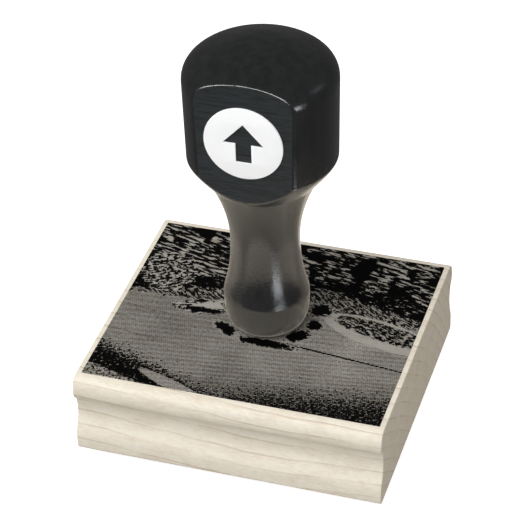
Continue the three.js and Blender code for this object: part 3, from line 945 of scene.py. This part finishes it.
def frontBadge():
    low, high = boxInMm("front_badge")
    radius, thickness = (high[0] - low[0]) / 2, high[1] - low[1]
    centre = (low + high) / 2
    tip = badge["arrowHeight"] / 2 * radius
    shoulder = tip - badge["arrowHead"] * radius
    barb, stem = badge["arrowWidth"] / 2 * radius, badge["arrowStem"] / 2 * radius
    disc = [(radius * math.cos(t), radius * math.sin(t)) for t in turnsRound(badge["sides"])]
    arrow = [(0, tip), (barb, shoulder), (stem, shoulder), (stem, -tip), (-stem, -tip),
             (-stem, shoulder), (-barb, shoulder)]
    curve = bpy.data.curves.new("badgeCurve", "CURVE")
    curve.dimensions, curve.fill_mode = "2D", "BOTH"
    for outline in (disc, arrow):
        spline = curve.splines.new("POLY")
        spline.points.add(len(outline) - 1)
        for point, (px, py) in zip(spline.points, outline):
            point.co = (px * mm, py * mm, 0, 1)
        spline.use_cyclic_u = True
    bevel = badge["bevel"] * mm
    curve.extrude = thickness / 2 * mm - bevel
    curve.bevel_depth, curve.bevel_resolution, curve.offset = bevel, 2, -bevel
    maker = bpy.data.objects.new("badgeMaker", curve)
    scene.collection.objects.link(maker)
    bpy.context.view_layer.update()
    evaluated = maker.evaluated_get(bpy.context.evaluated_depsgraph_get())
    mesh = bpy.data.meshes.new_from_object(evaluated)
    bpy.data.objects.remove(maker)
    stand = Matrix.Translation(Vector(centre * mm)) @ Matrix.Rotation(math.pi / 2, 4, "X")
    mesh.transform(stand)
    outward(mesh)
    mesh.materials.clear()
    piece = link("frontBadge", mesh, whiteVinyl())
    sharpenPast(piece, 40)
    return piece


def whiteVinyl():
    material, tree, shader = newMaterial("whiteVinyl")
    speck = useGroup(tree, fineSpeckle, {"Place": inMillimetres(tree), "Cloud Size": 7.0,
                                         "Grit Size": 0.3, "Flecks": 0.05})
    color = blendColors(tree, speck["Cloud"], (0.93, 0.94, 0.94, 1), (0.97, 0.975, 0.97, 1))
    dust = calc(tree, "MULTIPLY", speck["Fleck"], 0.12)
    color = blendColors(tree, dust, color, (0.6, 0.6, 0.6, 1))
    feed(tree, shader, Base_Color=color, Specular_IOR_Level=0.4,
         Roughness=step(tree, speck["Grit"], 0.3, 0.7, 0.32, 0.44))
    return material


# Hanger bolt and threaded insert

bolt = {
    "sides": 48, "rowsPerTurn": 10, "sharpFrom": 35,
    "radius": 2.5, "pitch": 0.8, "depth": 0.45, "shank": 2.45,
    "woodRadius": 2.6, "woodPitch": 2.0, "woodDepth": 0.8, "woodLength": 12.0,
    "woodRunOut": (1.5, 0.8),                # mm over which the wood thread starts and ends
    "woodRows": 1.6,                         # more rows, because its pitch is coarser
    "crest": 0.12,                           # how much of a thread's pitch is flat
    "seatGap": 0.7,                          # plain shank below the seat
    "plain": 0.5, "runIn": 0.4,              # plain shank above it, and the thread's start
    "point": 2.4, "pointRows": 8, "tip": 0.05, "pointShape": 0.7, "woodShape": 1.6,
    "step": 0.15,                            # between the last thread and the full shank
    "chamfer": 0.5, "chamferDepth": 0.35,
}


# Rows of a turned or threaded body. A row is a height and a function from angle to radius.
def threadedBody(name, rows, sides, material, capped=True):
    turn = turnsRound(sides)
    points = []
    for z, reach in rows:
        points += ringAt(z, reach(turn) if callable(reach) else reach, turn)
    faces = ringFaces(len(rows), sides)
    if capped:
        faces.append(tuple(range(sides)))
        faces.append(tuple(range(len(points) - sides, len(points))))
    else:
        last = (len(rows) - 1) * sides
        faces += [(last + i, last + (i + 1) % sides, (i + 1) % sides, i) for i in range(sides)]
    mesh = meshFrom(name, points, faces)
    outward(mesh)
    piece = link(name, mesh, material)
    sharpenPast(piece, bolt["sharpFrom"])
    return piece


# A right-hand thread's radius at a height: 0 at the root and 1 at the crest, round the turn.
def helix(z, pitch, turn):
    phase = (z / pitch - turn / (2 * math.pi)) % 1.0
    ridge = 1 - abs(2 * phase - 1)
    return np.clip(ridge / (1 - bolt["crest"]), 0, 1)


def hangerBolt():
    low, high = boxInMm("hanger_bolt")
    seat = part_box("handle")[0].z / mm
    b, rows = bolt, []
    root = b["woodRadius"] - b["woodDepth"]
    woodTop = seat - b["seatGap"]
    woodBottom = woodTop - b["woodLength"]
    for i in range(b["pointRows"] + 1):
        share = i / b["pointRows"]
        swell = (root - b["tip"]) * share ** b["pointShape"]
        rows.append((low[2] + b["point"] * share, b["tip"] + swell))
    count = int(b["woodLength"] / b["woodPitch"] * b["rowsPerTurn"] * b["woodRows"])
    for i in range(1, count + 1):
        z = woodBottom + b["woodLength"] * i / count
        fade = min(1.0, (z - woodBottom) / b["woodRunOut"][0], (woodTop - z) / b["woodRunOut"][1])
        depth = b["woodDepth"] * max(fade, 0)
        rows.append((z, lambda turn, z=z, depth=depth:
                     root + depth * helix(z, b["woodPitch"], turn) ** b["woodShape"]))
    start = seat + b["plain"]
    rows.append((woodTop + b["step"], b["radius"] - b["depth"]))
    rows += [(woodTop + 2 * b["step"], b["shank"]), (start - 2 * b["step"], b["shank"])]
    count = int((high[2] - start) / b["pitch"] * b["rowsPerTurn"])
    for i in range(count + 1):
        z = start + (high[2] - start) * i / count
        ending = min(1.0, (high[2] - z) / b["chamfer"])
        core = b["radius"] - b["depth"] - b["chamferDepth"] * (1 - ending)
        depth = b["depth"] * min(1.0, (z - start) / b["runIn"]) * ending
        rows.append((z, lambda turn, z=z, core=core, depth=depth:
                     core + depth * helix(z, b["pitch"], turn)))
    return threadedBody("hangerBolt", rows, b["sides"], zincSteel())


insert = {
    "sides": 72, "rowsPerTurn": 8,
    "ribs": 4, "rib": 0.35, "ribEdge": 0.04, "knurls": 36, "knurl": 0.12,
    "inner": 2.8, "boreThread": 0.16, "mouth": 0.2, "lip": 0.1,
    # across one rib: where, how far in from the outside, and whether it is knurled
    "ribShape": ((0.0, "rib", 0), (0.08, "rib", 0), (0.26, "ribEdge", 1), (0.5, None, 1),
                 (0.74, "ribEdge", 1), (0.92, "rib", 0)),
}


def threadedInsert():
    low, high = boxInMm("threaded_insert")
    outer, height = (high[0] - low[0]) / 2, high[2] - low[2]
    s, rows = insert, []
    pitch = height / s["ribs"]
    for rib in range(s["ribs"]):
        for share, depthIn, knurled in s["ribShape"]:
            radius = outer - s[depthIn] if depthIn else outer
            cut = s["knurl"] * knurled
            rows.append((low[2] + (rib + share) * pitch, lambda turn, radius=radius, cut=cut:
                         radius - cut * (0.5 - 0.5 * np.cos(s["knurls"] * turn))))
    rows.append((high[2] - s["lip"], outer - s["rib"]))
    rows.append((high[2], outer - s["rib"] - s["lip"]))
    rows.append((high[2], s["inner"] + s["mouth"]))
    count = int(height / bolt["pitch"] * s["rowsPerTurn"])
    for i in range(count + 1):
        z = high[2] - s["mouth"] - (height - 2 * s["mouth"]) * i / count
        rows.append((z, lambda turn, z=z:
                     s["inner"] - s["boreThread"] * helix(z, bolt["pitch"], turn)))
    rows.append((low[2], s["inner"] + s["mouth"]))
    return threadedBody("threadedInsert", rows, s["sides"], turnedBrass(), capped=False)


def turnedMetal(name, light, dark, rough):
    material, tree, shader = newMaterial(name)
    place = inMillimetres(tree)
    speck = useGroup(tree, fineSpeckle, {"Place": place, "Cloud Size": 2.5, "Grit Size": 0.12,
                                         "Flecks": 0.1})
    groove = useGroup(tree, latheMarks, {"Place": place, "Groove Width": 0.08})["Groove"]
    height = calc(tree, "ADD", groove, speck["Grit"])
    feed(tree, shader, Base_Color=blendColors(tree, speck["Cloud"], light, dark), Metallic=1.0,
         Roughness=step(tree, groove, 0.3, 0.7, rough - 0.07, rough + 0.09),
         Normal=bump(tree, height, 0.01 * mm, 0.4))
    return material


def zincSteel():
    return turnedMetal("zincSteel", (0.60, 0.62, 0.65, 1), (0.50, 0.52, 0.53, 1), 0.32)


def turnedBrass():
    return turnedMetal("turnedBrass", (0.80, 0.58, 0.26, 1), (0.68, 0.47, 0.20, 1), 0.28)


# Put the pieces on their bodies

def standIn(piece, body, node):
    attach(piece, body)
    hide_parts(node)
    print(piece.name, "stands for", node)
    return piece


standIn(woodBlock(), "mount", "mount_block")
standIn(indexFilm(), "mount", "index_print")
standIn(rubberDie(), "die", "rubber_die")
standIn(knobHandle(), "grip", "handle")
standIn(frontBadge(), "grip", "front_badge")
standIn(hangerBolt(), "bolt", "hanger_bolt")
standIn(threadedInsert(), "grip", "threaded_insert")

cushion = standIn(foamCushion(), "mount", "cushion")
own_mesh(cushion)

filmFinish = clearFilm()
for name in ("die_adhesive", "cushion_adhesive"):
    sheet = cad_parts[name]
    sheet.data.materials.clear()
    sheet.data.materials.append(filmFinish)
print("pieces ride on their bodies")


# Floor, light and camera

studio = {
    "floor": 3.0, "floorGap": 0.05 * mm,
    "sky": 0.62,                             # light from all round on what is matt
    "skyInGloss": 0.10,                      # and what gloss sees of it
    "skySeen": 1.2,
    "keyPower": 12.5, "keySize": 1.0, "keyFrom": (-0.28, -0.62, 1.05), "keyAim": (0, 0, 0.04),
    "floorGlow": 0.88,                       # added to the floor for the camera only
}

# Cards that only gloss sees. The first stands for the table and the second for the block's top.
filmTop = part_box("index_print")[1].z
cards = {
    "tableCard": {"spot": (0, 0, boxLow.z + 0.4 * mm), "aim": (0, 0, 1), "size": (0.205, 0.205),
                  "shape": "ELLIPSE", "bright": 0.66, "color": (1.0, 0.89, 0.74)},
    "blockCard": {"spot": (0, 0, filmTop + 0.3 * mm), "aim": (0, 0, 1), "size": (0.076, 0.0695),
                  "shape": "RECTANGLE", "bright": 0.42, "color": (1.0, 0.90, 0.74)},
    "footCard": {"spot": (0.0575, -0.053, 0.0165), "aim": (0, 0, 0.034), "size": (0.029, 0.012),
                 "shape": "RECTANGLE", "bright": 4.4, "color": (0.90, 0.96, 1.0)},
    "frontCard": {"spot": (-0.12, -0.48, 0.31), "aim": (0, 0, 0.09), "size": (0.80, 0.22),
                  "shape": "RECTANGLE", "bright": 9.0, "color": (0.97, 0.99, 1.0)},
    "sideCard": {"spot": (0.284, -0.140, 0.074), "aim": (0, 0, 0.097), "size": (0.070, 0.085),
                 "shape": "RECTANGLE", "bright": 5.0, "color": (0.92, 0.97, 1.0)},
    "skyCard": {"spot": (0.285, 0.10, 0.235), "aim": (0, 0, 0.098), "size": (0.085, 0.07),
                "shape": "RECTANGLE", "bright": 0.5, "color": (0.75, 0.90, 1.0)},
}


def areaLight(name, power, size, spot, aim, color=(1, 1, 1), shape="RECTANGLE"):
    data = bpy.data.lights.new(name, "AREA")
    data.shape, (data.size, data.size_y) = shape, size
    data.energy, data.color = power, color
    lamp = bpy.data.objects.new(name, data)
    scene.collection.objects.link(lamp)
    lamp.location = spot
    lamp.rotation_mode = "QUATERNION"
    lamp.rotation_quaternion = (Vector(aim) - Vector(spot)).to_track_quat("-Z", "Y")
    lamp.visible_camera = False
    return lamp


def lights():
    size = (studio["keySize"], studio["keySize"])
    key = areaLight("key", studio["keyPower"], size, studio["keyFrom"], studio["keyAim"])
    key.visible_glossy = False
    for name, card in cards.items():
        power = card["bright"] * math.pi * card["size"][0] * card["size"][1]
        lamp = areaLight(name, power, card["size"], card["spot"], card["aim"], card["color"],
                         card["shape"])
        lamp.visible_diffuse = False


def floor():
    material, tree, shader = newMaterial("paleFloor")
    speck = useGroup(tree, fineSpeckle, {"Place": inMillimetres(tree), "Cloud Size": 60.0,
                                         "Grit Size": 1.0})
    color = blendColors(tree, speck["Cloud"], (0.40, 0.40, 0.40, 1), (0.44, 0.44, 0.44, 1))
    seen = addNode(tree, "ShaderNodeLightPath").outputs["Is Camera Ray"]
    glow = calc(tree, "MULTIPLY", seen, studio["floorGlow"])
    feed(tree, shader, Base_Color=color, Roughness=0.7, Specular_IOR_Level=0.2,
         Emission_Color=(1, 1, 1, 1), Emission_Strength=glow)
    half = studio["floor"] / 2
    corners = [(-half, -half, 0), (half, -half, 0), (half, half, 0), (-half, half, 0)]
    ground = link("floor", meshFrom("floor", corners, [(0, 1, 2, 3)]), material, smooth=False)
    ground.location.z = boxLow.z - studio["floorGap"]
    ground.visible_glossy = False


def sky():
    world = bpy.data.worlds.new("studio")
    scene.world = world
    world.use_nodes = True
    tree = world.node_tree
    backdrop = tree.nodes["Background"].inputs
    backdrop["Color"].default_value = (1, 1, 1, 1)
    ray = addNode(tree, "ShaderNodeLightPath").outputs
    strength = blendValues(tree, ray["Is Glossy Ray"], studio["sky"], studio["skyInGloss"])
    strength = blendValues(tree, ray["Is Camera Ray"], strength, studio["skySeen"])
    tree.links.new(strength, backdrop["Strength"])


view = {
    "azimuth": 18.226, "elevation": 36.827, "roll": -1.748,      # degrees
    "distance": 0.5512, "lens": 155.64, "sensor": 36.0,          # metres, and millimetres of film
    "aimShift": (-0.24 * mm, -0.12 * mm, -10.1 * mm),            # from the middle of the CAD box
}


def camera():
    data = bpy.data.cameras.new("camera")
    data.lens, data.sensor_width = view["lens"], view["sensor"]
    data.clip_start, data.clip_end = 0.01, 20
    holder = bpy.data.objects.new("camera", data)
    scene.collection.objects.link(holder)
    around, up = math.radians(view["azimuth"]), math.radians(view["elevation"])
    back = Vector((math.sin(around) * math.cos(up), -math.cos(around) * math.cos(up), math.sin(up)))
    aim = boxCentre + Vector(view["aimShift"])
    turn = (-back).to_track_quat("-Z", "Y").to_matrix().to_4x4()
    roll = Matrix.Rotation(math.radians(view["roll"]), 4, "Z")
    holder.matrix_world = Matrix.Translation(aim + back * view["distance"]) @ turn @ roll
    scene.camera = holder


floor()
sky()
camera()
lights()
scene.view_settings.view_transform = "Standard"
print("floor, light and camera set")
